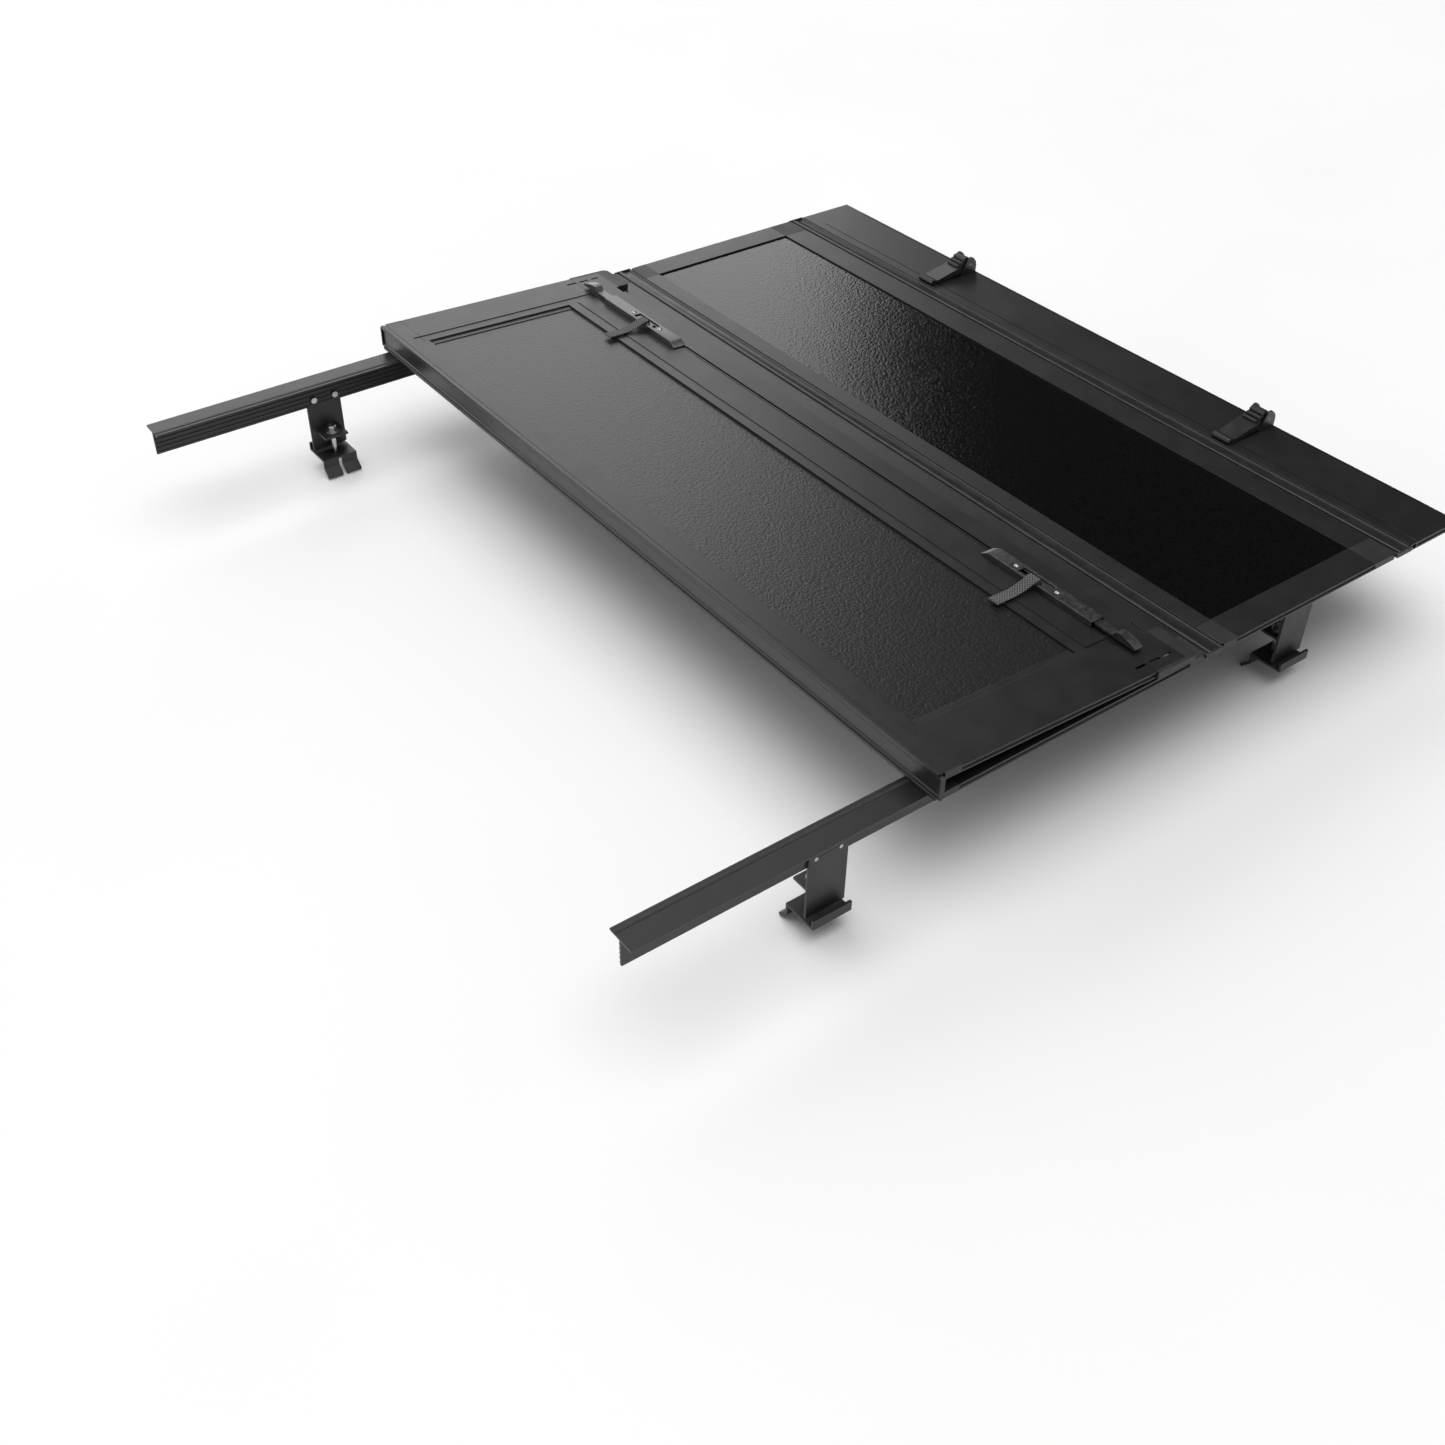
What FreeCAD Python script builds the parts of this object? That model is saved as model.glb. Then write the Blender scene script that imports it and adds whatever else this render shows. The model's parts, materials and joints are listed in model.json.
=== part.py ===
"""Hard folding tonneau cover for the short bed of a mid-size pickup.

Millimetres. +X is across the bed, +Y points at the cab and +Z is up. The origin is the
centre of the front rail's seat, on the underside of that rail. Along the bed, places are
given as stations: the distance forward from the rear end of the side rails.

The front and middle panels lie flat, and the rear panel is folded over onto the middle one.
Each hinge is a strip with a bead along both edges, one bead in each neighbouring panel.
"""
import FreeCAD
import Part
import math
import os

# ---- driving dimensions -------------------------------------------------------------------
RAIL_LENGTH = 1536.0          # rear end of the side rails to the cab end
SEAT_STATION = 1518.0         # the origin: centre line of the front rail's seat
RAIL_TOP = 4.0                # top of the rails above their seat
BED_HALF_WIDTH = 681.0        # inner edge of the rails
PANEL_HALF_WIDTH = 743.0
PANEL_THICKNESS = 11.0
PANEL_BOTTOM = RAIL_TOP + 1.0
PANEL_TOP = PANEL_BOTTOM + PANEL_THICKNESS

# stations of the panel edges with every panel flat
MIDDLE_REAR = 450.0
MIDDLE_FRONT = 960.0
FRONT_REAR = 981.0
FRONT_FRONT = 1390.0
DECK_REAR = 1411.0
REAR_PANEL_LENGTH = 460.0

# hinge strip
AXIS_INSET = 5.0              # panel edge to hinge axis
AXIS_DEPTH = 4.5              # panel top to hinge axis
AXIS_Z = PANEL_TOP - AXIS_DEPTH
LINK_SPACING = FRONT_REAR - MIDDLE_FRONT + 2 * AXIS_INSET
BEAD_RADIUS = 3.2
BEAD_CLEARANCE = 0.06
NECK_THICKNESS = 2.0
LINK_END_GAP = 0.5
LINK_RIDGE = 4.0              # rear edge of the strip to the crest of its ridge
LINK_CREST_HEIGHT = 3.9       # from the hinge axis
LINK_FRONT_HEIGHT = 0.9       # the strip falls away in a hollow curve to its front edge
REAR_LINK_FOLD = 90.0
REAR_PANEL_FOLD = 92.55       # leaves the folded panel sloping down to its tail

MIDDLE_REAR_AXIS = MIDDLE_REAR + AXIS_INSET
REAR_PANEL_AXIS = MIDDLE_REAR_AXIS - LINK_SPACING
REAR_PANEL_EDGE = REAR_PANEL_AXIS + AXIS_INSET

# panel frame section: widths from the panel's outer edge, heights from its underside
SIDE_TOP_WIDTH = 51.0
SIDE_BOTTOM_WIDTH = 94.0
SIDE_STEP_WIDTH = 74.0
SIDE_LEDGE_WIDTH = 106.0      # lower ledge that reaches under the skin
HINGE_MEMBER_WIDTH = 39.0
FRONT_MEMBER_WIDTH = 57.0
TAIL_MEMBER_WIDTH = 60.0
TAIL_SHELF_WIDTH = 122.0
SHELF_WIDTH = 8.0
STEP_WIDTH = 20.0
STEP_HEIGHT = 1.2
SLOT_DEPTH = 8.0
LEDGE_HEIGHT = 3.9
SKIN_BOTTOM = 5.2
SKIN_TOP = 8.2
CAVITY_BOTTOM = 2.2
CAVITY_TOP = 8.8
SIDE_CAVITY = (6.0, 40.0)
JOINT_GAP = 0.3               # seen as a thin line where a side member meets a cross member
RIM_GROOVE = (7.6, 8.6)       # shallow line in the underside, beside each hinge socket
RIM_GROOVE_DEPTH = 0.7
END_CAP_THICKNESS = 3.0
CORNER_BLOCK_WIDTH = 51.0     # moulded corner of the front and middle panels

# corner keys
KEY_CLEARANCE = 0.15
KEY_WIDTH = 12.0
KEY_LENGTH = 70.0
CROSS_CAVITY_START = 12.0

# tail of the rear panel
TAIL_CORNER_LENGTH = 23.0
TAIL_CORNER_INNER = 669.0
CAP_HALF_WIDTH = 746.0
T_GROOVE_CENTRE = 40.0
T_GROOVE_SLOTS = ((35.8, 39.4), (42.0, 44.0))
T_GROOVE_DEPTH = 3.6
T_GROOVE_RIDGE_DROP = 0.5
T_GROOVE_HALF_LENGTH = 395.0
SEAL_HALF_LENGTH = 640.0
SEAL_ROOT = (3.0, 8.0)
SEAL_PROUD = 3.5
CORNER_POCKET = (643.0, 667.0)
DRAIN_SLOTS = ((10.0, 26.0), (33.0, 53.0), (61.0, 80.0))
DRAIN_SLOT_X = 722.0
DRAIN_SLOT_WIDTH = 4.4

# tail latches, heights measured away from the panel's underside
LATCH_CENTRE = 49.5           # from the tail edge
HOUSING_SPAN = (396.0, 620.0)
HOUSING_WIDTH = 25.0
HOUSING_HEIGHT = 10.0
HOUSING_WALL = 1.5
HOUSING_BEND = 14.0
WINDOW_SPAN = (468.0, 531.0)
WINDOW_WIDTH = 15.0
RIVET_X = (458.0, 541.0)
RIVET_RADIUS = 4.6
RIVET_SHANK_RADIUS = 2.4
BOLT_BAR = (4.6, 7.6)
BOLT_SPAN = (436.0, 698.0)
BOLT_WIDTH = 16.0
NOSE_START = 658.0
NOSE_HEIGHT = 15.5
LATCH_TRAVEL = 18.0
STRAP_X = 499.0
STRAP_WIDTH = 20.0
STRAP_LENGTH = 82.0
STRAP_THICKNESS = 2.4
STRAP_SLOPE = 42.0            # length over which it comes down from the housing's edge
STRAP_FOLD = 15.0             # doubled end of the strap
DOME_HEIGHT = 2.2
SPRING_SPAN = (551.0, 585.0)  # between the stop and the lug
SPRING_END_GAP = 0.4
SPRING_CENTRE = 2.3
SPRING_RADIUS = 1.65
SPRING_WIRE_RADIUS = 0.35
SPRING_COILS = 10
LOOP_OFFSET = 3.4             # of the loop from the latch's centre line
LOOP_WIRE_RADIUS = 1.2
LOOP_HEIGHT = 12.2

# rails
LIP_THICKNESS = 3.0
SKIRT_X = 701.0
SKIRT_THICKNESS = 3.5
SKIRT_DEPTH = 41.0
RAIL_OUTER = 726.0
SEAL_GROOVE = (686.0, 693.0)
SEAL_GROOVE_DEPTH = 1.5
RIB_PITCH = 8.0
RIB_HEIGHT = 1.1
FRONT_LIP_REAR = 1480.0
FRONT_SKIRT = 1500.0

# deck at the cab end
DECK_HINGE_WIDTH = 25.0
DECK_PLATE_HALF_WIDTH = 692.0
DECK_GROOVES = ((0.0, 1.4), (95.0, 96.4))   # fine lines along the plank, from its rear edge
DECK_GROOVE_DEPTH = 0.8

# stow hooks
HOOK_X = 366.0
HOOK_WIDTH = 36.0
CHEEK_THICKNESS = 4.0
CHEEK_GAP = 0.4
HOOK_PIVOT = (1520.0, 17.0)   # station, height above the deck
HOOK_TIP = 1419.0
HOOK_BLOCK = 1498.0
HOOK_BLOCK_HEIGHT = 33.0
HOOK_ARM_END = (1488.0, 17.0)
HOOK_RIBS = 3
PIN_RADIUS = 3.0
PIN_CLEARANCE = 0.06
HOOK_SCREW_RADIUS = 2.5
HOOK_SCREW_LENGTH = 7.5

# bed clamps
CLAMP_STATIONS = (307.0, 1218.0)
CLAMP_WIDTH = 64.0
CLAMP_THICKNESS = 4.0
CLAMP_TOP = -18.0
CLAMP_BOTTOM = -128.0
LEDGE_TOP = -91.0
LEDGE_WIDTH = 44.0
CLAMP_BOLT_X = 686.0
CLAMP_BOLT_RADIUS = 4.0
CLAMP_INNER = 668.0
JAW_TOP = -133.0
JAW_OUTER = 724.0
PRONG_GAP = 7.0

X_AXIS = FreeCAD.Vector(1, 0, 0)
Y_AXIS = FreeCAD.Vector(0, 1, 0)
Z_AXIS = FreeCAD.Vector(0, 0, 1)


# ---- helpers ------------------------------------------------------------------------------
def along(station):
    """The Y coordinate of a station."""
    return station - SEAT_STATION


def box(x, y, z):
    """A block between two limits on each axis."""
    low = FreeCAD.Vector(min(x), min(y), min(z))
    return Part.makeBox(abs(x[1] - x[0]), abs(y[1] - y[0]), abs(z[1] - z[0]), low)


def prism(outline, start, end, axis="x"):
    """A closed outline extruded along an axis. A four-number entry is an arc: mid, end."""
    def place(a, b):
        if axis == "x":
            return FreeCAD.Vector(start, a, b)
        if axis == "y":
            return FreeCAD.Vector(a, start, b)
        return FreeCAD.Vector(a, b, start)

    points = [place(*outline[0])]
    edges = []
    for entry in list(outline[1:]) + [outline[0]]:
        last = place(*entry[-2:])
        if last.isEqual(points[-1], 1e-6):
            continue
        if len(entry) == 4:
            edges.append(Part.Arc(points[-1], place(*entry[:2]), last).toShape())
        else:
            edges.append(Part.LineSegment(points[-1], last).toShape())
        points.append(last)
    direction = {"x": X_AXIS, "y": Y_AXIS, "z": Z_AXIS}[axis]
    return Part.Face(Part.Wire(edges)).extrude(direction * (end - start))


def rod(radius, start, end, centre, axis="z"):
    """A cylinder between two places on an axis, centred on the other two coordinates."""
    a, b = centre
    base, direction = {
        "x": (FreeCAD.Vector(start, a, b), X_AXIS),
        "y": (FreeCAD.Vector(a, start, b), Y_AXIS),
        "z": (FreeCAD.Vector(a, b, start), Z_AXIS),
    }[axis]
    return Part.makeCylinder(radius, end - start, base, direction)


def join(shapes):
    """Pieces fused into one solid."""
    return shapes[0].fuse(shapes[1:]).removeSplitter()


def cut(shape, tools):
    """A solid with the tools removed."""
    return shape.cut(Part.makeCompound(tools))


def mirrored(shape):
    """The same piece on the other side of the cover."""
    return shape.mirror(FreeCAD.Vector(0, 0, 0), X_AXIS)


def pair(shape):
    """A piece and its mirror image."""
    return [shape, mirrored(shape)]


def hex_prism(across_flats, z0, z1, centre):
    """A hexagonal head or nut standing along Z."""
    radius = across_flats / math.sqrt(3)
    corners = [
        (centre[0] + radius * math.cos(math.radians(60 * k)),
         centre[1] + radius * math.sin(math.radians(60 * k)))
        for k in range(6)
    ]
    return prism(corners, z0, z1, "z")


# ---- panel frames -------------------------------------------------------------------------
def socket_cut(edge, inward):
    """The bead's bore and the opening that the strip's neck swings through."""
    axis_y = along(edge) + inward * AXIS_INSET
    reach = 12.0
    opening = [(axis_y, AXIS_Z)]
    for degrees in (-23, 20, 68, 116):
        angle = math.radians(degrees)
        opening.append((axis_y - inward * reach * math.cos(angle),
                        AXIS_Z + reach * math.sin(angle)))
    bore = rod(BEAD_RADIUS + BEAD_CLEARANCE, -PANEL_HALF_WIDTH - 1, PANEL_HALF_WIDTH + 1,
               (axis_y, AXIS_Z), "x")
    return [bore, prism(opening, -PANEL_HALF_WIDTH - 1, PANEL_HALF_WIDTH + 1)]


def cross_member(edge, inward, width, shelf=SHELF_WIDTH, socket=True, cavity_end=None):
    """A member across the panel. Widths run inward from the edge at the given station."""
    half = PANEL_HALF_WIDTH - END_CAP_THICKNESS
    shelf_half = PANEL_HALF_WIDTH - SIDE_BOTTOM_WIDTH
    step_half = PANEL_HALF_WIDTH - SIDE_STEP_WIDTH

    def section(points):
        return [(along(edge) + inward * w, PANEL_BOTTOM + v) for w, v in points]

    slot = width - SLOT_DEPTH
    body = prism(section([(0, 0), (0, PANEL_THICKNESS), (width, PANEL_THICKNESS),
                          (width, SKIN_TOP), (slot, SKIN_TOP), (slot, SKIN_BOTTOM),
                          (width, SKIN_BOTTOM), (width, 0)]), -half, half)
    ledge = prism(section([(width, 0), (width, SKIN_BOTTOM), (width + shelf, SKIN_BOTTOM),
                           (width + shelf, 0)]), -shelf_half, shelf_half)
    step = prism(section([(width + shelf - STEP_WIDTH, 0), (width + shelf - STEP_WIDTH, STEP_HEIGHT),
                          (width + shelf + 1, STEP_HEIGHT), (width + shelf + 1, 0)]),
                 -step_half, step_half)
    cavity_end = cavity_end or slot - 3
    cavity = prism(section([(CROSS_CAVITY_START, CAVITY_BOTTOM), (CROSS_CAVITY_START, CAVITY_TOP),
                            (cavity_end, CAVITY_TOP), (cavity_end, CAVITY_BOTTOM)]),
                   -half - 1, half + 1)
    key_notch = box((PANEL_HALF_WIDTH - SIDE_CAVITY[0] - KEY_WIDTH - KEY_CLEARANCE * 2,
                     PANEL_HALF_WIDTH - SIDE_CAVITY[0]),
                    (along(edge) + inward * (CROSS_CAVITY_START + 1),
                     along(edge) + inward * (width + 1)),
                    (PANEL_BOTTOM + CAVITY_BOTTOM, PANEL_BOTTOM + CAVITY_TOP))
    tools = [step, cavity] + pair(key_notch)
    if socket:
        tools += socket_cut(edge, inward)
        groove_start, groove_end = RIM_GROOVE
        tools.append(prism(section([(groove_start, -1), (groove_start, RIM_GROOVE_DEPTH),
                                    (groove_end, RIM_GROOVE_DEPTH), (groove_end, -1)]),
                           -half - 1, half + 1))
    return cut(join([body, ledge]), tools)


def side_member(rear, front, rear_shelf=SHELF_WIDTH):
    """The right-hand member along a panel, its lower ledge kept clear of the cross members."""
    def section(points):
        return [(PANEL_HALF_WIDTH - u, PANEL_BOTTOM + v) for u, v in points]

    body = prism(section([(0, 0), (0, 2.4), (2.6, 3.4), (2.6, 7.6), (0, 8.6),
                          (0, PANEL_THICKNESS), (SIDE_TOP_WIDTH, PANEL_THICKNESS),
                          (SIDE_TOP_WIDTH, SKIN_TOP), (SIDE_TOP_WIDTH - SLOT_DEPTH, SKIN_TOP),
                          (SIDE_TOP_WIDTH - SLOT_DEPTH, SKIN_BOTTOM),
                          (SIDE_BOTTOM_WIDTH, SKIN_BOTTOM), (SIDE_BOTTOM_WIDTH, STEP_HEIGHT),
                          (SIDE_STEP_WIDTH, STEP_HEIGHT), (SIDE_STEP_WIDTH, 0)]),
                 along(rear) + JOINT_GAP, along(front) - JOINT_GAP, "y")
    inner, outer = SIDE_CAVITY
    cavity = prism(section([(inner, CAVITY_BOTTOM), (inner, CAVITY_TOP),
                            (outer, CAVITY_TOP), (outer, CAVITY_BOTTOM)]),
                   along(rear) - 1, along(front) + 1, "y")
    ledge = box((PANEL_HALF_WIDTH - SIDE_LEDGE_WIDTH, PANEL_HALF_WIDTH - SIDE_BOTTOM_WIDTH),
                (along(rear) + rear_shelf + JOINT_GAP, along(front) - SHELF_WIDTH - JOINT_GAP),
                (PANEL_BOTTOM + LEDGE_HEIGHT, PANEL_BOTTOM + SKIN_BOTTOM))
    return cut(join([body, ledge]), [cavity])


def skin(rear, front):
    """The panel's sheet, held in the slots of the four members around it."""
    half = PANEL_HALF_WIDTH - SIDE_TOP_WIDTH + SLOT_DEPTH - 0.3
    return box((-half, half), (along(rear) - SLOT_DEPTH + 0.3, along(front) + SLOT_DEPTH - 0.3),
               (PANEL_BOTTOM + SKIN_BOTTOM, PANEL_BOTTOM + SKIN_TOP))


def corner_key(edge, inward, width):
    """An L-shaped key inside the right-hand corner of a panel frame."""
    outer = PANEL_HALF_WIDTH - SIDE_CAVITY[0] - KEY_CLEARANCE
    height = (PANEL_BOTTOM + CAVITY_BOTTOM + KEY_CLEARANCE,
              PANEL_BOTTOM + CAVITY_TOP - KEY_CLEARANCE)
    start = CROSS_CAVITY_START + KEY_CLEARANCE
    legs = [
        box((outer - KEY_WIDTH, outer),
            (along(edge) + inward * start, along(edge) + inward * (width + KEY_LENGTH)), height),
        box((outer - KEY_LENGTH, outer),
            (along(edge) + inward * start, along(edge) + inward * (start + KEY_WIDTH - 0.3)),
            height),
    ]
    return join(legs)


def end_cap(edge, inward, width):
    """The plug that closes the right-hand end of a cross member."""
    start = 2 * AXIS_INSET
    return box((PANEL_HALF_WIDTH - END_CAP_THICKNESS, PANEL_HALF_WIDTH),
               (along(edge) + inward * start, along(edge) + inward * width),
               (PANEL_BOTTOM, PANEL_TOP))


def split_corners(member, edge, inward, width):
    """A cross member cut short, and the moulded blocks that take its place at both corners."""
    joint = PANEL_HALF_WIDTH - CORNER_BLOCK_WIDTH
    reach = (along(edge) - 2 * width, along(edge) + 2 * width)
    height = (PANEL_BOTTOM - 1, PANEL_TOP + 1)
    half_gap = JOINT_GAP / 2
    middle = member.common(box((half_gap - joint, joint - half_gap), reach, height))
    end = member.common(box((joint + half_gap, PANEL_HALF_WIDTH), reach, height))
    return middle, pair(join([end, end_cap(edge, inward, width)]))


def hinge_link(panel_axis):
    """The flat hinge strip. The bead of its rear edge is at the given station."""
    half = PANEL_HALF_WIDTH - LINK_END_GAP
    y0 = along(panel_axis)
    y1 = y0 + LINK_SPACING
    gap = AXIS_INSET + 0.3
    crest = y0 + gap + LINK_RIDGE
    turn = crest + 0.75 * LINK_RIDGE
    high = AXIS_Z + LINK_CREST_HEIGHT
    low = AXIS_Z + LINK_FRONT_HEIGHT
    body = prism([(y0 + gap, AXIS_Z - 1.2), (y1 - gap, AXIS_Z - 1.2), (y1 - gap, low),
                  ((turn + y1 - gap) / 2, low + 0.55, turn, high - 0.7),
                  (crest, high, y0 + gap, high - 1.2)],
                 -half, half)
    neck = box((-half, half), (y0 + 2, y1 - 2),
               (AXIS_Z - NECK_THICKNESS / 2, AXIS_Z + NECK_THICKNESS / 2))
    beads = [rod(BEAD_RADIUS, -half, half, (y, AXIS_Z), "x") for y in (y0, y1)]
    return join([body, neck] + beads)


def link_end_caps(panel_axis):
    """A cap on each end of a hinge strip, rounded about both hinge axes."""
    y0 = along(panel_axis)
    y1 = y0 + LINK_SPACING
    radius = 4.2
    plate = prism([(y0, AXIS_Z - radius), (y1, AXIS_Z - radius),
                   (y1 + radius, AXIS_Z, y1, AXIS_Z + radius), (y0, AXIS_Z + radius),
                   (y0 - radius, AXIS_Z, y0, AXIS_Z - radius)],
                  PANEL_HALF_WIDTH + 0.3, CAP_HALF_WIDTH)
    boss = box((PANEL_HALF_WIDTH - LINK_END_GAP, PANEL_HALF_WIDTH + 0.3),
               (y0 + 8, y1 - 8), (AXIS_Z - 1.2, AXIS_Z + 2.8))
    return pair(join([plate, boss]))


# ---- whole panels, flat -------------------------------------------------------------------
def panel(name, rear, front, rear_width, front_width):
    """A flat panel with a hinge socket along both of its edges."""
    keys = [corner_key(rear, 1, rear_width), corner_key(front, -1, front_width)]
    members = []
    blocks = []
    for edge, inward, width in ((rear, 1, rear_width), (front, -1, front_width)):
        member, corners = split_corners(cross_member(edge, inward, width), edge, inward, width)
        members.append(member)
        blocks += corners
    return {
        name + "_skin": [skin(rear + rear_width, front - front_width)],
        name + "_side_members": pair(side_member(rear + rear_width, front - front_width)),
        name + "_cross_members": members,
        name + "_corner_keys": [piece for key in keys for piece in pair(key)],
        name + "_corner_blocks": blocks,
    }


def tail_member(tail):
    """The wide member along the tail, with the T groove, drain slots and corner pockets."""
    member = cross_member(tail, 1, TAIL_MEMBER_WIDTH, TAIL_SHELF_WIDTH - TAIL_MEMBER_WIDTH,
                          socket=False, cavity_end=T_GROOVE_CENTRE - 6)
    y = along(tail)
    across = (-T_GROOVE_HALF_LENGTH, T_GROOVE_HALF_LENGTH)
    slots = [box(across, (y + near, y + far), (PANEL_BOTTOM - 1, PANEL_BOTTOM + T_GROOVE_DEPTH))
             for near, far in T_GROOVE_SLOTS]
    ridge = box(across, (y + T_GROOVE_SLOTS[0][0], y + T_GROOVE_SLOTS[1][1]),
                (PANEL_BOTTOM - 1, PANEL_BOTTOM + T_GROOVE_RIDGE_DROP))
    lightening = box((-shelf_inner(), shelf_inner()),
                     (y + T_GROOVE_CENTRE + 8, y + TAIL_SHELF_WIDTH - STEP_WIDTH - 4),
                     (PANEL_BOTTOM + 1.6, PANEL_BOTTOM + 3.6))
    pocket = box(CORNER_POCKET, (y - 1, y + 5), (PANEL_BOTTOM - 1, PANEL_BOTTOM + 8))
    seal_groove = box((-SEAL_HALF_LENGTH, SEAL_HALF_LENGTH), (y - 1, y + 3),
                      (PANEL_BOTTOM + SEAL_ROOT[0], PANEL_BOTTOM + SEAL_ROOT[1]))
    tools = slots + [ridge, lightening, seal_groove] + pair(pocket) + drain_slot_cuts(tail)
    return cut(member, tools)


def shelf_inner():
    """Half length of the hollow under the tail shelf, which stays closed at its ends."""
    return PANEL_HALF_WIDTH - SIDE_BOTTOM_WIDTH - 4


def drain_slot_cuts(tail):
    """Tools for the short slots through the underside near both tail corners."""
    tools = []
    for start, end in DRAIN_SLOTS:
        slot = box((DRAIN_SLOT_X - DRAIN_SLOT_WIDTH / 2, DRAIN_SLOT_X + DRAIN_SLOT_WIDTH / 2),
                   (along(tail) + start, along(tail) + end),
                   (PANEL_BOTTOM - 1, PANEL_BOTTOM + CAVITY_BOTTOM + 0.1))
        tools += pair(slot)
    return tools


def tail_corner_cap(tail):
    """The moulded cap that carries the right-hand tail corner past the tail edge."""
    y = along(tail)
    radius = 10.0
    bevel = radius * (1 - math.sqrt(0.5))
    outline = [(TAIL_CORNER_INNER, y), (TAIL_CORNER_INNER, y - TAIL_CORNER_LENGTH),
               (CAP_HALF_WIDTH - radius, y - TAIL_CORNER_LENGTH),
               (CAP_HALF_WIDTH - bevel, y - TAIL_CORNER_LENGTH + bevel,
                CAP_HALF_WIDTH, y - TAIL_CORNER_LENGTH + radius),
               (CAP_HALF_WIDTH, y + TAIL_MEMBER_WIDTH), (PANEL_HALF_WIDTH, y + TAIL_MEMBER_WIDTH),
               (PANEL_HALF_WIDTH, y)]
    return prism(outline, PANEL_BOTTOM, PANEL_TOP, "z")


def tail_end_cap(tail):
    """The plug in the right-hand end of the tail member, behind the corner cap."""
    return box((PANEL_HALF_WIDTH - END_CAP_THICKNESS, PANEL_HALF_WIDTH),
               (along(tail), along(tail) + TAIL_MEMBER_WIDTH), (PANEL_BOTTOM, PANEL_TOP))


def tail_seal(tail):
    """The bulb seal along the tail edge, keyed into a groove."""
    y = along(tail)
    z = PANEL_BOTTOM
    half = SEAL_HALF_LENGTH - 1
    low, high = SEAL_ROOT
    root = box((-half, half), (y, y + 2.8), (z + low + 0.1, z + high - 0.1))
    bulb = prism([(y, z + low - 1.5), (y - SEAL_PROUD, z + (low + high) / 2, y, z + high + 1.5)],
                 -half, half)
    return join([root, bulb])


# ---- tail latches -------------------------------------------------------------------------
def below(height):
    """Z at a distance below the underside of a flat panel."""
    return PANEL_BOTTOM - height


def latch_y(tail, offset=0.0):
    """Y on the latch's centre line, or to one side of it."""
    return along(tail) + LATCH_CENTRE + offset


def latch_housing(tail):
    """The stamped channel of the right-hand latch, with its window and bent inner end."""
    x0, x1 = HOUSING_SPAN
    half = HOUSING_WIDTH / 2
    inner = half - HOUSING_WALL
    outline = [(x0, below(0)), (x0, below(2.5)), (x0 + HOUSING_BEND, below(HOUSING_HEIGHT)),
               (x1, below(HOUSING_HEIGHT)), (x1, below(0))]
    shell = prism(outline, latch_y(tail, -half), latch_y(tail, half), "y")
    hollow = [(x0 + 3, below(-1)), (x0 + 3, below(2.2)),
              (x0 + HOUSING_BEND + 1.5, below(HOUSING_HEIGHT - HOUSING_WALL)),
              (x1 + 1, below(HOUSING_HEIGHT - HOUSING_WALL)), (x1 + 1, below(-1))]
    channel = prism(hollow, latch_y(tail, -inner), latch_y(tail, inner), "y")
    window = box(WINDOW_SPAN,
                 (latch_y(tail, -WINDOW_WIDTH / 2), latch_y(tail, WINDOW_WIDTH / 2)),
                 (below(HOUSING_HEIGHT + 1), below(HOUSING_HEIGHT - 3)))
    holes = [rod(RIVET_SHANK_RADIUS + 0.1, below(HOUSING_HEIGHT + 1), below(-1),
                 (x, latch_y(tail))) for x in RIVET_X]
    stop = box((SPRING_SPAN[0] - 2.5, SPRING_SPAN[0] - 0.2),
               (latch_y(tail, -inner), latch_y(tail, inner)), (below(BOLT_BAR[0] - 0.4), below(0)))
    return join([cut(shell, [channel, window] + holes), stop])


def latch_rivet(tail, x):
    """A dome rivet through the housing, its shank reaching the panel's underside."""
    sphere_radius = (RIVET_RADIUS ** 2 + DOME_HEIGHT ** 2) / (2 * DOME_HEIGHT)
    centre = FreeCAD.Vector(x, latch_y(tail), below(HOUSING_HEIGHT + DOME_HEIGHT) + sphere_radius)
    dome = Part.makeSphere(sphere_radius, centre)
    keep = box((x - 6, x + 6), (latch_y(tail, -6), latch_y(tail, 6)),
               (below(HOUSING_HEIGHT + 3), below(HOUSING_HEIGHT)))
    shank = rod(RIVET_SHANK_RADIUS, below(HOUSING_HEIGHT), below(0), (x, latch_y(tail)))
    return join([dome.common(keep), shank])


def latch_bolt(tail):
    """The sliding bar of the right-hand latch, with slots for the rivets and a ramp nose."""
    x0, x1 = BOLT_SPAN
    near, far = BOLT_BAR
    half = BOLT_WIDTH / 2
    outline = [(x0, below(near)), (x1 - 1, below(near)), (x1, below(near + 1)),
               (x1, below(near + 2.6)),
               (NOSE_START + 27, below(NOSE_HEIGHT - 3.6), NOSE_START + 9, below(NOSE_HEIGHT)),
               (NOSE_START + 2, below(NOSE_HEIGHT - 1.2)),
               (NOSE_START - 3, below(far)), (x0, below(far))]
    bar = prism(outline, latch_y(tail, -half), latch_y(tail, half), "y")
    slots = []
    for x in RIVET_X:
        run = (x - 4.0, x + 4.0 + LATCH_TRAVEL)
        slots.append(box(run, (latch_y(tail, -3.2), latch_y(tail, 3.2)),
                         (below(far + 1), below(near - 1))))
    lug = box((SPRING_SPAN[1] + 0.2, SPRING_SPAN[1] + 3), (latch_y(tail, -5), latch_y(tail, 5)),
              (below(near), below(0.5)))
    reach = STRAP_WIDTH / 2 + LOOP_WIRE_RADIUS + 0.5
    centre = latch_y(tail, LOOP_OFFSET)
    top = below(LOOP_HEIGHT)
    legs = [rod(LOOP_WIRE_RADIUS, top, below(near + 1), (STRAP_X + side * reach, centre))
            for side in (-1, 1)]
    loop = rod(LOOP_WIRE_RADIUS, STRAP_X - reach, STRAP_X + reach, (centre, top), "x")
    return join([cut(bar, slots), lug, loop] + legs)


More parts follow.
